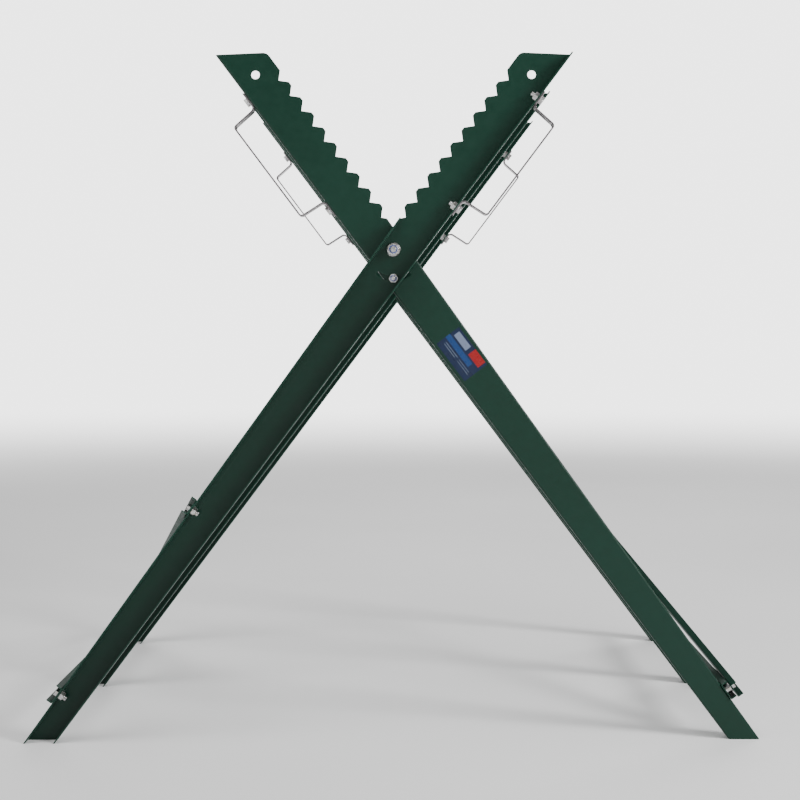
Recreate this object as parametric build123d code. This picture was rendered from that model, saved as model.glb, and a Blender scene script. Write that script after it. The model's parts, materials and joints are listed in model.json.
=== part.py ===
from build123d import *
import math
import os

# Folding sawhorse for logs: three scissor frames of pressed steel channel, one behind another.
# Millimetres. +Z is up, X runs across the frames and Y runs through them.
# The origin is on the floor, in the middle of the footprint.
#
# Each member has its own frame: t across it, towards its toothed side, s up along it from
# the pivot, and z through the sheet, which is Y of the whole object. The left set has its
# feet on the left. The right set is the left set turned half a turn about Z.

# Frames
LEAN = 36.87  # each member's angle from upright, with the stops home
PIVOT_HEIGHT = 597.0
FRAME_PITCH = 300.0
WEB_GAP = 0.6  # between the two webs of a frame
SETS_Y = {"front": -FRAME_PITCH, "middle": 0.0, "rear": FRAME_PITCH}

# Member
SHEET = 1.5
FLANGE = 20.0
BEND_RADIUS = 2.4
STRAIGHT_EDGE = -31.1  # t of the plain edge
TAPER_EDGE = 15.9  # t of the toothed side's flange, level with the pivot
TAPER = 0.0225
HEAD_TIP = 320.5  # s of the head's outer tip
HEAD_SLOPE = 0.685
HEAD_ROUND = 10.0
TOOTH_TIP = 20.7
TOOTH_DEPTH = 9.0
TOOTH_FLAT = 5.0
TOOTH_RUN = 9.1  # of each sloping side, along the member
TOOTH_PITCH = TOOTH_FLAT + 2 * TOOTH_RUN
NOTCHES = 10
FIRST_NOTCH = 249.3  # s of the top notch's root
LOWER_FLANGE_TOP = 35.0
FOOT_ROUND = 5.0
HEAD_HOLE = (-6.7, 271.6)
HEAD_HOLE_RADIUS = 5.2

# Pivot and stop
PIVOT_RADIUS = 4.0
PIVOT_CLEARANCE = 0.06
STOP_CIRCLE = 35.0
STOP_RADIUS = 3.0
SLOT_WIDTH = 6.6
SLOT_SWEEP = 31.0
SLOT_START = 270.0 - LEAN
SEAT_GAP = 0.3  # between a nut or head and a web of another body

# Braces
BRACE_WIDTH = 22.0
BRACE_HEIGHT = 8.0
BRACE_SHEET = 1.2
BRACE_BEND = 1.8
BRACE_END = 12.0  # past the last bolt
UPPER_JOINT = -400.0
LOWER_JOINT = -675.0
BOLT_SETBACK = FLANGE / 2
JOINT_PLAY = 0.2  # under the diagonal's tilted upper end
STACK_PLAY = 0.6  # under its lower end, on the other brace's flanges

# Handles: places up the member are (upper, lower)
STRAP_WIDTH = 16.0
STRAP = 2.0
HANDLE_BOLTS = (252.0, 86.3)
HANDLE_RUN = (236.5, 100.4)
HANDLE_ROOT = (239.5, 98.0)
HANDLE_FEET = (262.0, 76.0)
HANDLE_REACH = 36.0
HANDLE_ROUND = 4.0
HANDLE_FOOT_ROUND = 6.0

# M6 and M8 fasteners
M6_RADIUS = 3.0
M6_FLATS = 10.0
M6_HEAD = 4.0
M6_NUT = 5.0
M6_LOCK_NUT = 6.0
M6_HOLE = 3.3
M8_FLATS = 13.0
M8_HEAD = 5.3
M8_NUT = 9.5
M8_NUT_FLANGE = 17.9
NUT_FLANGE_EDGE = 1.4
THREAD_END = 4.5
SPACER_RADIUS = 7.0
RING_DEPTH = 1.6
COLLAR = 0.45  # radius of a lock nut's collar, as a share of its width across flats
RING_SEAT = 0.39
CHAMFER = 0.7
CORNER_CUT = 0.25  # how far outside the flats a head's chamfer starts
LOCK_NUT_HEX = 0.72  # a lock nut's hexagon, as a share of its height
PAST_LOCK_NUT = 1.5  # how far a bolt shows past it

# Label
LABEL_SIZE = (34.3, 57.2)
LABEL_AT = (-9.8, -151.8)
LABEL_THICKNESS = 0.2
LABEL_CORNER = 1.0

SIN = math.sin(math.radians(LEAN))
COS = math.cos(math.radians(LEAN))
TILT = math.atan(TAPER)


def floor_s(t):
    """s of the floor under a point t across a left member."""
    return -(PIVOT_HEIGHT + t * SIN) / COS


def head_s(t):
    """s of the head's sloping top edge."""
    return HEAD_TIP - HEAD_SLOPE * (t - STRAIGHT_EDGE)


def taper_t(s):
    """t of the toothed side's flange, which closes in towards the foot."""
    return TAPER_EDGE + TAPER * s


def taper_foot(inset=0.0):
    """The point where the tapered edge meets the floor."""
    s = floor_s(TAPER_EDGE - inset) / (1 + TAPER * SIN / COS)
    return (taper_t(s) - inset, s)


def member_plane(y):
    """Frame of the left member whose web backs on to the plane Y = y."""
    return Plane(origin=(0, y - WEB_GAP / 2, PIVOT_HEIGHT), x_dir=(-COS, 0, SIN), z_dir=(0, 1, 0))


def place(plane, shape):
    return plane.location * shape


def brace_plane(u, y, out=0.0, x_dir=None):
    """Frame on the outer face of the left legs' tapered flanges, Z outwards."""
    lean = math.radians(LEAN) - TILT
    along = Vector(math.sin(lean), 0, math.cos(lean))
    outward = Vector(-math.cos(lean), 0, math.sin(lean))
    base = member_plane(0).from_local_coords(Vector(TAPER_EDGE, 0, 0))
    origin = Vector(base.X, y, base.Z) + along * u + outward * out
    return Plane(origin=origin, x_dir=x_dir or along, z_dir=outward)


# Member


def toothed_edge():
    """Points down the toothed edge, from the head to the start of its flange."""
    root = TOOTH_TIP - TOOTH_DEPTH
    points = [(TOOTH_TIP, FIRST_NOTCH + TOOTH_RUN)]
    for notch in range(NOTCHES):
        s = FIRST_NOTCH - notch * TOOTH_PITCH
        points.append((root, s))
        if notch < NOTCHES - 1:
            points.append((TOOTH_TIP, s - TOOTH_RUN))
            points.append((TOOTH_TIP, s - TOOTH_RUN - TOOTH_FLAT))
    points.append((taper_t(LOWER_FLANGE_TOP), LOWER_FLANGE_TOP))
    return points


def web_sheet():
    foot = taper_foot()
    inner_foot = (STRAIGHT_EDGE, floor_s(STRAIGHT_EDGE))
    corner = (TOOTH_TIP, head_s(TOOTH_TIP))
    outline = [(STRAIGHT_EDGE, HEAD_TIP), corner, *toothed_edge(), foot, inner_foot]
    face = make_face(Polyline(*outline, close=True))
    head_corner = face.vertices().sort_by_distance((corner[0], corner[1], 0))[0]
    face = fillet(head_corner, HEAD_ROUND)
    foot_corner = face.vertices().sort_by_distance((inner_foot[0], inner_foot[1], 0))[0]
    face = fillet(foot_corner, FOOT_ROUND)
    web = extrude(face, -SHEET)
    slot = SlotArc(CenterArc((0, 0), STOP_CIRCLE, SLOT_START, SLOT_SWEEP), SLOT_WIDTH)
    cuts = Circle(PIVOT_RADIUS + PIVOT_CLEARANCE) + Pos(*HEAD_HOLE) * Circle(HEAD_HOLE_RADIUS) + slot
    return web - extrude(cuts, -SHEET)


def plain_flange():
    inner = STRAIGHT_EDGE + SHEET
    outline = [
        (STRAIGHT_EDGE, HEAD_TIP),
        (inner, head_s(inner)),
        (inner, floor_s(inner)),
        (STRAIGHT_EDGE, floor_s(STRAIGHT_EDGE)),
    ]
    return extrude(make_face(Polyline(*outline, close=True)), -FLANGE)


def tapered_flange():
    top = LOWER_FLANGE_TOP
    outline = [(taper_t(top), top), taper_foot(), taper_foot(SHEET), (taper_t(top) - SHEET, top)]
    return extrude(make_face(Polyline(*outline, close=True)), -FLANGE)


def cross_hole(t, s, angle=0.0):
    """A bolt hole through a flange, half way along its depth."""
    drill = Rot(0, 90, 0) * Cylinder(M6_HOLE, 4 * SHEET)
    return Pos(t, s, -BOLT_SETBACK) * Rot(0, 0, angle) * drill


def bend_waste(top, side=1):
    """What rounding a bend takes off a square edge that runs down from s = top."""
    square = Pos(side * BEND_RADIUS / 2, -BEND_RADIUS / 2) * Rectangle(BEND_RADIUS, BEND_RADIUS)
    corner = square - Pos(side * BEND_RADIUS, -BEND_RADIUS) * Circle(BEND_RADIUS)
    length = PIVOT_HEIGHT / COS + HEAD_TIP
    across = Plane(origin=(0, top, 0), x_dir=(1, 0, 0), z_dir=(0, -1, 0))
    return extrude(across * corner, length)


def member(has_handle):
    body = web_sheet() + plain_flange() + tapered_flange()
    body -= Pos(STRAIGHT_EDGE, 0, 0) * bend_waste(HEAD_TIP)
    tapered_bend = Rot(0, 0, -math.degrees(TILT)) * bend_waste(LOWER_FLANGE_TOP, -1)
    body -= Pos(TAPER_EDGE, 0, 0) * tapered_bend
    for u in (UPPER_JOINT, LOWER_JOINT, (UPPER_JOINT + LOWER_JOINT) / 2):
        t = TAPER_EDGE + u * math.sin(TILT)
        body -= cross_hole(t, u * math.cos(TILT), -math.degrees(TILT))
    if has_handle:
        for s in HANDLE_BOLTS:
            body -= cross_hole(STRAIGHT_EDGE, s)
    return body


# Braces


def brace(length, holes):
    """A channel along X with its web on Z = 0 and its flanges outwards."""
    start = -BRACE_END
    middle = length / 2
    full = length + 2 * BRACE_END
    outer = Pos(middle, 0, BRACE_HEIGHT / 2) * Box(full, BRACE_WIDTH, BRACE_HEIGHT)
    long_edges = outer.edges().filter_by(Axis.X).group_by(Axis.Z)[0]
    outer = fillet(long_edges, BRACE_BEND)
    inside = Box(full + 2, BRACE_WIDTH - 2 * BRACE_SHEET, BRACE_HEIGHT)
    channel = outer - Pos(middle, 0, BRACE_HEIGHT / 2 + BRACE_SHEET) * inside
    for x in holes:
        channel -= Pos(x, 0, 0) * Cylinder(M6_HOLE, 4 * BRACE_SHEET)
    return channel


def bolt_y(frame):
    return SETS_Y[frame] - WEB_GAP / 2 - BOLT_SETBACK


def lower_brace():
    span = 2 * FRAME_PITCH
    plane = brace_plane(LOWER_JOINT, bolt_y("front"), 0, (0, 1, 0))
    return place(plane, brace(span, (0, FRAME_PITCH, span)))


def diagonal_ends():
    upper = brace_plane(UPPER_JOINT, bolt_y("front"), JOINT_PLAY).origin
    lower = brace_plane(LOWER_JOINT, bolt_y("rear"), BRACE_HEIGHT + STACK_PLAY).origin
    return upper, lower


def diagonal_brace():
    upper, lower = diagonal_ends()
    direction = (lower - upper).normalized()
    outward = brace_plane(0, 0).z_dir
    outward = (outward - direction * outward.dot(direction)).normalized()
    plane = Plane(origin=upper, x_dir=direction, z_dir=outward)
    length = (lower - upper).length
    return place(plane, brace(length, (0, length / 2, length)))


# Fasteners, each along Z with its seat on Z = 0


def hexagon(flats, height):
    solid = extrude(RegularPolygon(flats / 2, 6, major_radius=False), height)
    rim_radius = flats / 2 + CORNER_CUT
    shape = extrude(Circle(rim_radius + CHAMFER), height)
    edge = shape.edges().filter_by(GeomType.CIRCLE).sort_by(Axis.Z)[-1]
    return solid & chamfer(edge, CHAMFER)


def bolt(radius, flats, head, length):
    """A hexagon bolt: head above its seat, shank below it."""
    shank = Cylinder(radius, length, align=(Align.CENTER, Align.CENTER, Align.MAX))
    end = shank.edges().filter_by(GeomType.CIRCLE).sort_by(Axis.Z)[0]
    return hexagon(flats, head) + chamfer(end, CHAMFER)


def washer(outer, hole, height):
    return extrude(Circle(outer) - Circle(hole), height)


def nut(flats, height, hole):
    return hexagon(flats, height) - Cylinder(hole, 3 * height)


def lock_nut(flats, height, hole, flange=0.0):
    """A nut with a domed collar round its nylon ring, and a seat flange if it has one."""
    collar = extrude(Circle(COLLAR * flats), height)
    rim = collar.edges().filter_by(GeomType.CIRCLE).sort_by(Axis.Z)[-1]
    collar = fillet(rim, CHAMFER)
    ring_seat = Pos(0, 0, height - RING_DEPTH) * extrude(Circle(RING_SEAT * flats), RING_DEPTH)
    body = hexagon(flats, height * LOCK_NUT_HEX) + collar
    if flange:
        slope = (flange - flats) / 4
        skirt = extrude(Circle(flange / 2), NUT_FLANGE_EDGE + slope)
        rim = skirt.edges().filter_by(GeomType.CIRCLE).sort_by(Axis.Z)[-1]
        body += chamfer(rim, slope)
    return body - ring_seat - Cylinder(hole, 3 * height)


def nylon_ring(flats, height, hole):
    ring = washer(RING_SEAT * flats, hole, RING_DEPTH - 0.3)
    return Pos(0, 0, height - RING_DEPTH) * ring


# Brace joints


def joint_stacks():
    """Each brace joint: place along the leg, leg, underside of the head, spacer's ends."""
    middle = (UPPER_JOINT + LOWER_JOINT) / 2
    stacked = STACK_PLAY + BRACE_HEIGHT
    half_rise = (JOINT_PLAY + stacked) / 2
    skin = BRACE_SHEET
    return [
        (UPPER_JOINT, "front", JOINT_PLAY + skin, None),
        (LOWER_JOINT, "front", skin, None),
        (LOWER_JOINT, "middle", skin, None),
        (middle, "middle", half_rise + skin, (0, half_rise)),
        (LOWER_JOINT, "rear", stacked + skin, (skin, stacked)),
    ]


def brace_bolts():
    bolts = []
    for u, frame, seat, _ in joint_stacks():
        length = seat + JOINT_PLAY + SHEET + M6_NUT + THREAD_END
        plane = brace_plane(u, bolt_y(frame), seat + JOINT_PLAY)
        bolts.append(place(plane, bolt(M6_RADIUS, M6_FLATS, M6_HEAD, length)))
    return bolts


def brace_nuts():
    facing_in = Rot(180, 0, 0)
    return [
        place(brace_plane(u, bolt_y(frame), -SHEET), facing_in * nut(M6_FLATS, M6_NUT, M6_RADIUS))
        for u, frame, _, _ in joint_stacks()
    ]


def brace_spacers():
    spacers = []
    for u, frame, _, ends in joint_stacks():
        if ends:
            tube = washer(SPACER_RADIUS, M6_HOLE, ends[1] - ends[0] - JOINT_PLAY)
            spacers.append(place(brace_plane(u, bolt_y(frame), ends[0]), tube))
    return spacers


# Handles


def handle(y):
    wall = STRAIGHT_EDGE - STRAP / 2
    grip = STRAIGHT_EDGE - HANDLE_REACH + STRAP / 2
    bends = [(wall, HANDLE_FEET), (wall, HANDLE_ROOT), (grip, HANDLE_RUN)]
    upper = [(t, ends[0]) for t, ends in bends]
    lower = [(t, ends[1]) for t, ends in reversed(bends)]
    radii = [HANDLE_FOOT_ROUND, HANDLE_ROUND, HANDLE_ROUND, HANDLE_FOOT_ROUND]
    path = FilletPolyline(*upper, *lower, radius=radii)
    start = Plane(origin=path @ 0, x_dir=(0, 0, 1), z_dir=path % 0)
    strap = sweep(start * Rectangle(STRAP_WIDTH, STRAP), path=path)
    strap = Pos(0, 0, -BOLT_SETBACK) * strap
    for s in HANDLE_BOLTS:
        strap -= cross_hole(STRAIGHT_EDGE, s)
    return place(member_plane(y), strap)


def handle_fasteners(y):
    """The two bolts and the two nuts of one handle."""
    length = STRAP + SHEET + M6_NUT + THREAD_END
    bolts = []
    nuts = []
    for s in HANDLE_BOLTS:
        head = Pos(STRAIGHT_EDGE - STRAP, s, -BOLT_SETBACK) * Rot(0, -90, 0)
        seat = Pos(STRAIGHT_EDGE + SHEET, s, -BOLT_SETBACK) * Rot(0, 90, 0)
        bolts.append(place(member_plane(y), head * bolt(M6_RADIUS, M6_FLATS, M6_HEAD, length)))
        nuts.append(place(member_plane(y), seat * nut(M6_FLATS, M6_NUT, M6_RADIUS)))
    return bolts, nuts


# Pivots and stops


def cross_bolt_set(z, radius, flats, head, nut_height, flange, front_gap):
    """Bolts through each frame along Y, with nuts in front: bolts, nuts, rings."""
    half = WEB_GAP / 2 + SHEET
    nut_seat = half + front_gap
    head_seat = half + SEAT_GAP
    length = nut_seat + head_seat + nut_height + PAST_LOCK_NUT
    solid_nut = lock_nut(flats, nut_height, radius, flange)
    ring = nylon_ring(flats, nut_height, radius)
    groups = ([], [], [])
    for y in SETS_Y.values():
        to_front = Plane(origin=(0, y, z), x_dir=(1, 0, 0), z_dir=(0, -1, 0))
        to_back = Plane(origin=(0, y, z), x_dir=(1, 0, 0), z_dir=(0, 1, 0))
        bolt_at_seat = Pos(0, 0, head_seat) * bolt(radius, flats, head, length)
        groups[0].append(place(to_back, bolt_at_seat))
        groups[1].append(place(to_front, Pos(0, 0, nut_seat) * solid_nut))
        groups[2].append(place(to_front, Pos(0, 0, nut_seat) * ring))
    return groups


def label():
    sticker = extrude(RectangleRounded(*LABEL_SIZE, LABEL_CORNER), LABEL_THICKNESS)
    return place(member_plane(FRAME_PITCH), Pos(LABEL_AT[0], LABEL_AT[1], 0) * sticker)


# Assembly


def left_set():
    """Every piece of the left set, by node name without its side."""
    pieces = {f"leg_{frame}": member(frame != "middle") for frame in SETS_Y}
    pieces = {name: place(member_plane(SETS_Y[name[4:]]), body) for name, body in pieces.items()}
    pieces["lower_brace"] = lower_brace()
    pieces["diagonal_brace"] = diagonal_brace()
    pieces["brace_bolts"] = brace_bolts()
    pieces["brace_nuts"] = brace_nuts()
    pieces["brace_spacers"] = brace_spacers()
    pieces["handle_bolts"] = []
    pieces["handle_nuts"] = []
    for frame in ("front", "rear"):
        pieces[f"handle_{frame}"] = handle(SETS_Y[frame])
        bolts, nuts = handle_fasteners(SETS_Y[frame])
        pieces["handle_bolts"] += bolts
        pieces["handle_nuts"] += nuts
    return pieces


def turned(shape):
    if isinstance(shape, list):
        return [turned(piece) for piece in shape]
    return Rot(0, 0, 180) * shape


def swap_ends(name):
    for old, new in (("front", "rear"), ("rear", "front")):
        if name.endswith(old):
            return name[: -len(old)] + new
    return name


def write(name, shape):
    if isinstance(shape, list):
        shape = Compound(children=shape)
    export_step(shape, f"parts/{name}.step")


os.makedirs("parts", exist_ok=True)

for part_name, part_shape in left_set().items():
    write(f"left_{part_name}", part_shape)
    write(f"right_{swap_ends(part_name)}", turned(part_shape))

pivots = cross_bolt_set(
    PIVOT_HEIGHT, PIVOT_RADIUS, M8_FLATS, M8_HEAD, M8_NUT, M8_NUT_FLANGE, 0
)
stops = cross_bolt_set(
    PIVOT_HEIGHT - STOP_CIRCLE, STOP_RADIUS, M6_FLATS, M6_HEAD, M6_LOCK_NUT, 0, SEAT_GAP
)
for kind, pivot_group, stop_group in zip(("bolts", "nuts", "nut_rings"), pivots, stops):
    write(f"pivot_{kind}", pivot_group)
    write(f"stop_{kind}", stop_group)

write("label", turned(label()))
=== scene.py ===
"""Looks, camera and light for the folding sawhorse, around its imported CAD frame."""

import json
import math
import random

import bmesh
import bpy
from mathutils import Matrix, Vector


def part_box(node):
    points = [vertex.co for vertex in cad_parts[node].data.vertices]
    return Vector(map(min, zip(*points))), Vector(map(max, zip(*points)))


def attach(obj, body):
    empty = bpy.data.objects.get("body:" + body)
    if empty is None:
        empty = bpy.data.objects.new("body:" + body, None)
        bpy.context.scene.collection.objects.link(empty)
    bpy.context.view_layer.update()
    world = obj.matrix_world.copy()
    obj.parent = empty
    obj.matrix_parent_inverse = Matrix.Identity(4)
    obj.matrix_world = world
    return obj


MM = 0.001
SEED = 7

# The members' directions, as the CAD has them
LEAN = math.radians(36.87)
TILT = math.atan(0.0225)
UP_MEMBER = Vector((math.sin(LEAN), 0, math.cos(LEAN)))  # the left set's, towards its heads
TO_TEETH = Vector((-math.cos(LEAN), 0, math.sin(LEAN)))
OUT_OF_BRACE = Vector((-math.cos(LEAN - TILT), 0, math.sin(LEAN - TILT)))
TO_FRONT = Vector((0, -1, 0))

# Threads
M6 = {"radius": 3.0 * MM, "pitch": 1.0 * MM, "shown": 4.2 * MM}
M8 = {"radius": 4.0 * MM, "pitch": 1.25 * MM, "shown": 1.4 * MM}
M6_STOP = {"radius": 3.0 * MM, "pitch": 1.0 * MM, "shown": 1.4 * MM}
END_CHAMFER = 0.7 * MM
THREAD_PROUD = 0.12 * MM
THREAD_SUNK = 0.1 * MM
SAME_PLACE = 0.05 * MM  # how close a tip's points lie along its bolt
WELD = 0.01 * MM
STEPS_PER_TURN = 28
RUN_IN_STEPS = 8
RIDGE_ROOT = 0.38  # half widths of the ridge, as shares of the pitch
RIDGE_CREST = 0.06

# Label
LABEL_WIDTH = 34.3 * MM
LABEL_LENGTH = 57.2 * MM
LABEL_NAVY = ((0.0008, 0.0085, 0.038), (0.0013, 0.012, 0.050))
LABEL_BLOCKS = (  # along, across (both as shares, from the upper inner corner), linear colour
    ((0.0, 0.80), (0.40, 0.60), (0.0015, 0.038, 0.155)),
    ((0.08, 0.49), (0.08, 0.32), (0.16, 0.20, 0.30)),
    ((0.59, 0.94), (0.0, 0.33), (0.30, 0.0025, 0.004)),
    ((0.10, 0.50), (0.68, 0.70), (0.14, 0.18, 0.25)),
    ((0.10, 0.46), (0.76, 0.78), (0.14, 0.18, 0.25)),
    ((0.56, 0.90), (0.68, 0.70), (0.10, 0.13, 0.19)),
    ((0.56, 0.93), (0.76, 0.78), (0.10, 0.13, 0.19)),
)

# Paint, as linear colours
PAINT_GREENS = ((0.0028, 0.026, 0.0150), (0.0040, 0.033, 0.0200))
PAINT_MOTTLE = (0.0052, 0.039, 0.0240)
PAINT_THIN_COAT_AND_HIGHLIGHT = (0.075, 0.18, 0.135)  # lighter green on the edges: partly where the coat is thin, partly a painted highlight

# Light
ROOM_LIGHT = 0.22
BACKDROP_LIGHT = 3.5
FLOOR_REACH = 30
FLOOR_GLOW = 0.12
FLOOR_FADE = (1.4, 9.0)  # metres from the object

# Camera
CAMERA_AT = (0.0187, -2.175, 0.4928)
LENS = 69.2
SHIFT = (-0.011, -0.081)

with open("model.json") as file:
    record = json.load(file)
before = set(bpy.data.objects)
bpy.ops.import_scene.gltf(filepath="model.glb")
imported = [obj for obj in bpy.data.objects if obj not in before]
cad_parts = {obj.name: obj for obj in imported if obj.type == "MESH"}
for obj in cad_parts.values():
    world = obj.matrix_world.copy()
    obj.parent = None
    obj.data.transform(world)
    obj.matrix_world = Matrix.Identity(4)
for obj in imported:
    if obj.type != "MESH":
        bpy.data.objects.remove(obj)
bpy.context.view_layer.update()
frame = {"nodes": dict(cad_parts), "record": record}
nodes = frame["nodes"]
random.seed(SEED)


# Materials


class Surface:
    """A Principled material and short ways to add nodes to it."""

    def __init__(self, name, **values):
        self.material = bpy.data.materials.new(name)
        self.material.use_nodes = True
        self.tree = self.material.node_tree
        self.shader = self.tree.nodes["Principled BSDF"]
        for socket, value in values.items():
            self.shader.inputs[socket.replace("_", " ")].default_value = value
        self.place = self.node("ShaderNodeTexCoord").outputs["Object"]

    def node(self, kind, **settings):
        made = self.tree.nodes.new(kind)
        for name, value in settings.items():
            setattr(made, name, value)
        return made

    def set(self, socket, value):
        if isinstance(value, bpy.types.NodeSocket):
            self.tree.links.new(value, socket)
        else:
            socket.default_value = value

    def math(self, operation, *values):
        made = self.node("ShaderNodeMath", operation=operation)
        for socket, value in zip(made.inputs, values):
            self.set(socket, value)
        return made.outputs[0]

    def noise(self, scale, detail=3.0, roughness=0.5, stretch=None):
        made = self.node("ShaderNodeTexNoise")
        place = self.place
        if stretch:
            mapping = self.node("ShaderNodeMapping")
            mapping.inputs["Scale"].default_value = stretch
            self.set(mapping.inputs["Vector"], place)
            place = mapping.outputs[0]
        self.set(made.inputs["Vector"], place)
        self.set(made.inputs["Scale"], scale)
        self.set(made.inputs["Detail"], detail)
        self.set(made.inputs["Roughness"], roughness)
        return made.outputs["Fac"]

    def spread(self, value, low, high, to_low=0.0, to_high=1.0):
        made = self.node("ShaderNodeMapRange")
        self.set(made.inputs["Value"], value)
        made.inputs["From Min"].default_value = low
        made.inputs["From Max"].default_value = high
        made.inputs["To Min"].default_value = to_low
        made.inputs["To Max"].default_value = to_high
        return made.outputs[0]

    def mix(self, share, first, second):
        made = self.node("ShaderNodeMix", data_type="RGBA")
        self.set(made.inputs["Factor"], share)
        for name, colour in (("A", first), ("B", second)):
            socket = next(s for s in made.inputs if s.name == name and s.type == "RGBA")
            self.set(socket, colour if isinstance(colour, bpy.types.NodeSocket) else (*colour, 1.0))
        return next(s for s in made.outputs if s.type == "RGBA")

    def edges(self, radius, low=0.004, high=0.12):
        """1 on edges that stick out or in, 0 on flat faces."""
        rounded = self.node("ShaderNodeBevel", samples=8)
        rounded.inputs["Radius"].default_value = radius
        facing = self.node("ShaderNodeNewGeometry").outputs["Normal"]
        agree = self.node("ShaderNodeVectorMath", operation="DOT_PRODUCT")
        self.set(agree.inputs[0], rounded.outputs[0])
        self.set(agree.inputs[1], facing)
        return self.spread(self.math("SUBTRACT", 1.0, agree.outputs["Value"]), low, high)

    def colour(self, value):
        self.set(self.shader.inputs["Base Color"], value)

    def rough(self, value):
        self.set(self.shader.inputs["Roughness"], value)

    def bump(self, height, distance, strength=1.0, edge_radius=None):
        made = self.node("ShaderNodeBump")
        made.inputs["Distance"].default_value = distance
        made.inputs["Strength"].default_value = strength
        self.set(made.inputs["Height"], height)
        if edge_radius:
            rounded = self.node("ShaderNodeBevel", samples=8)
            rounded.inputs["Radius"].default_value = edge_radius
            self.set(made.inputs["Normal"], rounded.outputs[0])
        self.set(self.shader.inputs["Normal"], made.outputs[0])


def green_paint():
    paint = Surface("green_paint", Specular_IOR_Level=0.24, Coat_Weight=0.04, Coat_Roughness=0.3)
    cloud = paint.noise(5.0, 4.0)
    mottle = paint.noise(90.0, 3.0)
    base = paint.mix(paint.spread(cloud, 0.35, 0.65), *PAINT_GREENS)
    base = paint.mix(paint.spread(mottle, 0.3, 0.7, 0.0, 0.35), base, PAINT_MOTTLE)
    rim = paint.edges(0.5 * MM)
    # Edges get a lighter green, broken up by noise: partly where the coat is thin, partly a painted
    # highlight along the sheet edges
    thin_coat_and_highlight = paint.math("MULTIPLY", rim, paint.spread(paint.noise(60.0, 4.0), 0.4, 0.65, 0.35, 0.8))
    paint.colour(paint.mix(thin_coat_and_highlight, base, PAINT_THIN_COAT_AND_HIGHLIGHT))
    grain = paint.noise(1300.0, 2.0)
    smoother = paint.math("MULTIPLY", rim, -0.1)
    paint.rough(paint.math("ADD", paint.spread(mottle, 0.3, 0.7, 0.33, 0.42), smoother))
    paint.bump(grain, 0.06 * MM, 0.35, edge_radius=0.35 * MM)
    return paint.material


def zinc():
    plate = Surface("zinc", Metallic=1.0)
    cloud = plate.noise(260.0, 3.0)
    base = plate.mix(plate.spread(cloud, 0.38, 0.62), (0.48, 0.47, 0.45), (0.66, 0.66, 0.68))
    tint = plate.spread(plate.noise(420.0, 2.0), 0.55, 0.72, 0.0, 0.5)
    base = plate.mix(tint, base, (0.62, 0.54, 0.36))
    base = plate.mix(plate.edges(0.3 * MM), base, (0.82, 0.82, 0.82))
    plate.colour(base)
    plate.rough(plate.spread(plate.noise(800.0, 3.0), 0.3, 0.7, 0.2, 0.38))
    plate.bump(plate.noise(2600.0, 2.0), 0.03 * MM, 0.5, edge_radius=0.2 * MM)
    return plate.material


def handle_steel():
    steel = Surface("handle_steel", Metallic=1.0)
    cloud = steel.noise(60.0, 4.0)
    base = steel.mix(steel.spread(cloud, 0.35, 0.65), (0.17, 0.155, 0.165), (0.30, 0.28, 0.29))
    base = steel.mix(steel.edges(0.4 * MM), base, (0.62, 0.60, 0.60))
    steel.colour(base)
    drawn = steel.noise(400.0, 3.0, stretch=(1.0, 8.0, 1.0))
    steel.rough(steel.spread(drawn, 0.3, 0.7, 0.24, 0.42))
    steel.bump(drawn, 0.04 * MM, 0.4, edge_radius=0.3 * MM)
    return steel.material


def nylon():
    ring = Surface(
        "nylon", Specular_IOR_Level=0.45, Subsurface_Weight=0.1, Subsurface_Scale=0.5 * MM
    )
    cloud = ring.noise(500.0, 3.0)
    base = ring.mix(ring.spread(cloud, 0.35, 0.65), (0.05, 0.085, 0.36), (0.10, 0.16, 0.52))
    base = ring.mix(ring.edges(0.2 * MM), base, (0.30, 0.36, 0.66))
    ring.colour(base)
    ring.rough(ring.spread(cloud, 0.3, 0.7, 0.4, 0.55))
    ring.bump(ring.noise(3000.0), 0.03 * MM, 0.5)
    return ring.material


def label_print():
    """Navy vinyl with plain blocks and bars, and nothing that reads as text."""
    vinyl = Surface("label", Specular_IOR_Level=0.3, Coat_Weight=0.12, Coat_Roughness=0.2)
    low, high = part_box("label")
    along = Vector((UP_MEMBER.x, 0, -UP_MEMBER.z))  # down the right member
    across = Vector((TO_TEETH.x, 0, -TO_TEETH.z))  # from the teeth's side to the plain edge
    corner = (low + high) / 2 - along * LABEL_LENGTH / 2 - across * LABEL_WIDTH / 2

    def share(direction, length):
        offset = vinyl.node("ShaderNodeVectorMath", operation="SUBTRACT")
        vinyl.set(offset.inputs[0], vinyl.place)
        offset.inputs[1].default_value = corner
        dot = vinyl.node("ShaderNodeVectorMath", operation="DOT_PRODUCT")
        vinyl.set(dot.inputs[0], offset.outputs[0])
        dot.inputs[1].default_value = direction / length
        return dot.outputs["Value"]

    down = share(along, LABEL_LENGTH)
    over = share(across, LABEL_WIDTH)

    def inside(value, limits):
        middle = (limits[0] + limits[1]) / 2
        return vinyl.math("COMPARE", value, middle, (limits[1] - limits[0]) / 2)

    fade = vinyl.noise(120.0, 3.0)
    base = vinyl.mix(vinyl.spread(fade, 0.35, 0.65), *LABEL_NAVY)
    for along_share, across_share, colour in LABEL_BLOCKS:
        block = vinyl.math("MULTIPLY", inside(down, along_share), inside(over, across_share))
        base = vinyl.mix(block, base, colour)
    rub = vinyl.spread(vinyl.noise(700.0, 5.0, 0.7), 0.66, 0.8, 0.0, 0.25)
    vinyl.colour(vinyl.mix(rub, base, (0.10, 0.12, 0.16)))
    vinyl.rough(vinyl.spread(fade, 0.3, 0.7, 0.24, 0.36))
    vinyl.bump(vinyl.noise(900.0, 2.0), 0.02 * MM, 0.5)
    return vinyl.material


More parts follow.
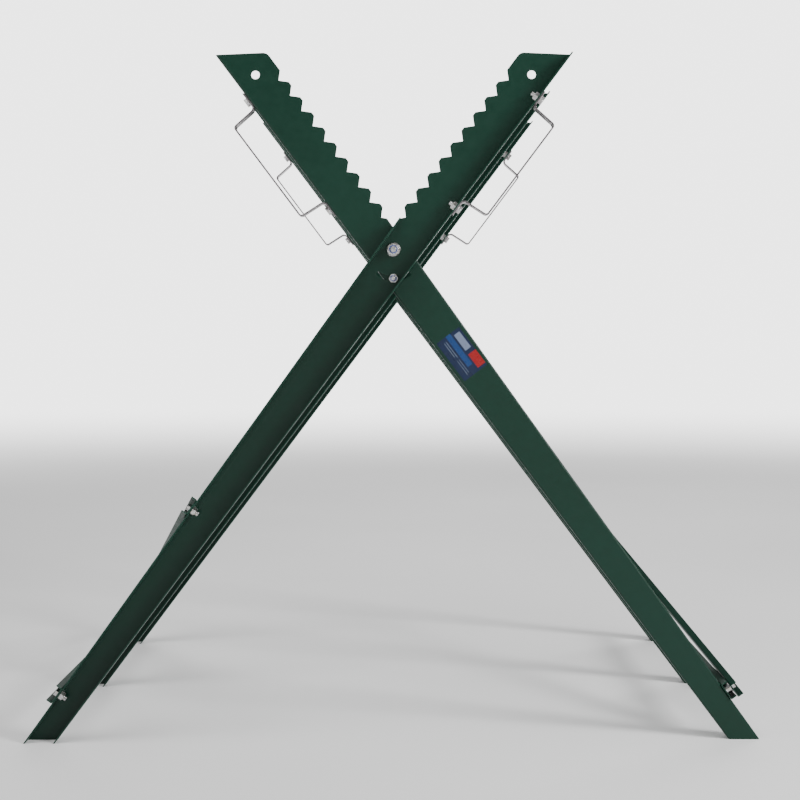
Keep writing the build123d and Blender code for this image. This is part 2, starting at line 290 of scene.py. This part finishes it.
def pale_floor():
    """Pale sheet that brightens with distance until it meets the backdrop."""
    floor = Surface("pale_floor", Specular_IOR_Level=0.2, Emission_Color=(1, 1, 1, 1))
    away = floor.node("ShaderNodeVectorMath", operation="LENGTH")
    floor.set(away.inputs[0], floor.place)
    glow = floor.node("ShaderNodeMapRange", interpolation_type="SMOOTHERSTEP")
    floor.set(glow.inputs["Value"], away.outputs["Value"])
    glow.inputs["From Min"].default_value, glow.inputs["From Max"].default_value = FLOOR_FADE
    glow.inputs["To Min"].default_value = FLOOR_GLOW
    glow.inputs["To Max"].default_value = BACKDROP_LIGHT - ROOM_LIGHT
    floor.set(floor.shader.inputs["Emission Strength"], glow.outputs[0])
    cloud = floor.noise(1.2, 3.0)
    floor.colour(floor.mix(floor.spread(cloud, 0.35, 0.65), (0.86, 0.86, 0.86), (0.90, 0.90, 0.90)))
    floor.rough(floor.spread(cloud, 0.3, 0.7, 0.7, 0.8))
    return floor.material


MATERIALS = {
    "green_paint": green_paint(),
    "zinc": zinc(),
    "handle_steel": handle_steel(),
    "nylon": nylon(),
    "label": label_print(),
}


def dress(piece, slot):
    piece.data.materials.clear()
    piece.data.materials.append(MATERIALS[slot])


for subpart in frame["record"]["subparts"]:
    dress(nodes[subpart["node"]], subpart["material_slot"])


# Threads on the ends of the bolts


def tips(node, direction):
    """The middle of each bolt's threaded end. The bolts point along direction.

    The bolts and their points are taken in the mesh's own order, so that every run is the same.
    """
    mesh = bmesh.new()
    mesh.from_mesh(node.data)
    bmesh.ops.remove_doubles(mesh, verts=mesh.verts, dist=WELD)
    mesh.verts.index_update()
    seen = set()
    found = []
    for first in mesh.verts:
        if first.index in seen:
            continue
        seen.add(first.index)
        bolt = [first]
        for vert in bolt:  # grows to the whole bolt as it is read
            for edge in vert.link_edges:
                near = edge.other_vert(vert)
                if near.index not in seen:
                    seen.add(near.index)
                    bolt.append(near)
        reach = max(vert.co.dot(direction) for vert in bolt) - SAME_PLACE
        last = [vert.co for vert in bolt if vert.co.dot(direction) > reach]
        found.append(sum(last, Vector()) / len(last))
    mesh.free()
    return found


def add_thread(mesh, tip, direction, size):
    """A helical ridge that runs back from just behind the tip's chamfer."""
    side = direction.orthogonal().normalized()
    other = direction.cross(side)
    length = size["shown"] - END_CHAMFER
    steps = round(length / size["pitch"] * STEPS_PER_TURN)
    start = random.uniform(0, 2 * math.pi)
    sunk, proud = size["radius"] - THREAD_SUNK, size["radius"] + THREAD_PROUD
    section = (
        (-RIDGE_ROOT, sunk),
        (-RIDGE_CREST, proud),
        (RIDGE_CREST, proud),
        (RIDGE_ROOT, sunk),
    )
    rings = []
    for step in range(steps + 1):
        angle = start + 2 * math.pi * step / STEPS_PER_TURN
        back = END_CHAMFER + size["pitch"] * step / STEPS_PER_TURN
        outward = side * math.cos(angle) + other * math.sin(angle)
        run_in = min(1.0, step / RUN_IN_STEPS, (steps - step) / RUN_IN_STEPS)
        ring = []
        for offset, radius in section:
            radius = sunk + (radius - sunk) * run_in
            centre = tip - direction * (back + offset * size["pitch"])
            ring.append(mesh.verts.new(centre + outward * radius))
        rings.append(ring)
    for near, far in zip(rings, rings[1:]):
        for corner in range(len(section)):
            after = (corner + 1) % len(section)
            mesh.faces.new((near[corner], near[after], far[after], far[corner]))
    mesh.faces.new(rings[0])
    mesh.faces.new(reversed(rings[-1]))


def thread(node_name, body, direction, size):
    mesh = bmesh.new()
    for tip in tips(nodes[node_name], direction):
        add_thread(mesh, tip, direction, size)
    bmesh.ops.recalc_face_normals(mesh, faces=mesh.faces)
    data = bpy.data.meshes.new(f"{node_name}_thread")
    mesh.to_mesh(data)
    mesh.free()
    piece = bpy.data.objects.new(data.name, data)
    bpy.context.scene.collection.objects.link(piece)
    dress(piece, "zinc")
    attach(piece, body)


def turned(direction):
    """The same direction on the right set, which is half a turn round."""
    return Vector((-direction.x, -direction.y, direction.z))


thread("left_brace_bolts", "left_set", -OUT_OF_BRACE, M6)
thread("right_brace_bolts", "right_set", turned(-OUT_OF_BRACE), M6)
thread("left_handle_bolts", "left_set", TO_TEETH, M6)
thread("right_handle_bolts", "right_set", turned(TO_TEETH), M6)
thread("pivot_bolts", "left_set", TO_FRONT, M8)
thread("stop_bolts", "stop_pins", TO_FRONT, M6_STOP)


# Floor, light and camera

floor_data = bpy.data.meshes.new("floor")
floor_corners = [
    (x * FLOOR_REACH, y * FLOOR_REACH, 0) for x, y in ((-1, -1), (1, -1), (1, 1), (-1, 1))
]
floor_data.from_pydata(floor_corners, [], [(0, 1, 2, 3)])
floor_data.materials.append(pale_floor())
floor = bpy.data.objects.new("floor", floor_data)
bpy.context.scene.collection.objects.link(floor)

world = bpy.data.worlds.new("studio")
world.use_nodes = True
sky = world.node_tree


def glow(shader, strength):
    shader.inputs["Color"].default_value = (1, 1, 1, 1)
    shader.inputs["Strength"].default_value = strength
    return shader.outputs[0]


# The room lights the object softly, and the backdrop behind it is brighter
either = sky.nodes.new("ShaderNodeMixShader")
backdrop_is_seen = sky.nodes.new("ShaderNodeLightPath").outputs["Is Camera Ray"]
sky.links.new(backdrop_is_seen, either.inputs["Fac"])
sky.links.new(glow(sky.nodes["Background"], ROOM_LIGHT), either.inputs[1])
sky.links.new(glow(sky.nodes.new("ShaderNodeBackground"), BACKDROP_LIGHT), either.inputs[2])
sky.links.new(either.outputs[0], sky.nodes["World Output"].inputs["Surface"])
bpy.context.scene.world = world


def softbox(name, at, size, power, target=(0, 0, 0.5)):
    data = bpy.data.lights.new(name, "AREA")
    data.shape = "RECTANGLE"
    data.size, data.size_y = size
    data.energy = power
    lamp = bpy.data.objects.new(name, data)
    lamp.location = at
    lamp.rotation_euler = (Vector(target) - Vector(at)).to_track_quat("-Z", "Y").to_euler()
    bpy.context.scene.collection.objects.link(lamp)


softbox("key", (2.6, -1.7, 1.9), (0.9, 0.9), 95)
softbox("top", (-0.5, -1.2, 3.2), (2.6, 1.6), 50)
softbox("fill", (-2.6, -1.4, 1.0), (1.6, 1.6), 14)
softbox("back", (0.6, 2.6, 2.2), (2.4, 1.4), 45)

camera_data = bpy.data.cameras.new("camera")
camera_data.lens = LENS
camera_data.sensor_width = 36
camera_data.shift_x, camera_data.shift_y = SHIFT
camera = bpy.data.objects.new("camera", camera_data)
camera.location = CAMERA_AT
camera.rotation_euler = (math.radians(90), 0, 0)
bpy.context.scene.collection.objects.link(camera)
bpy.context.scene.camera = camera
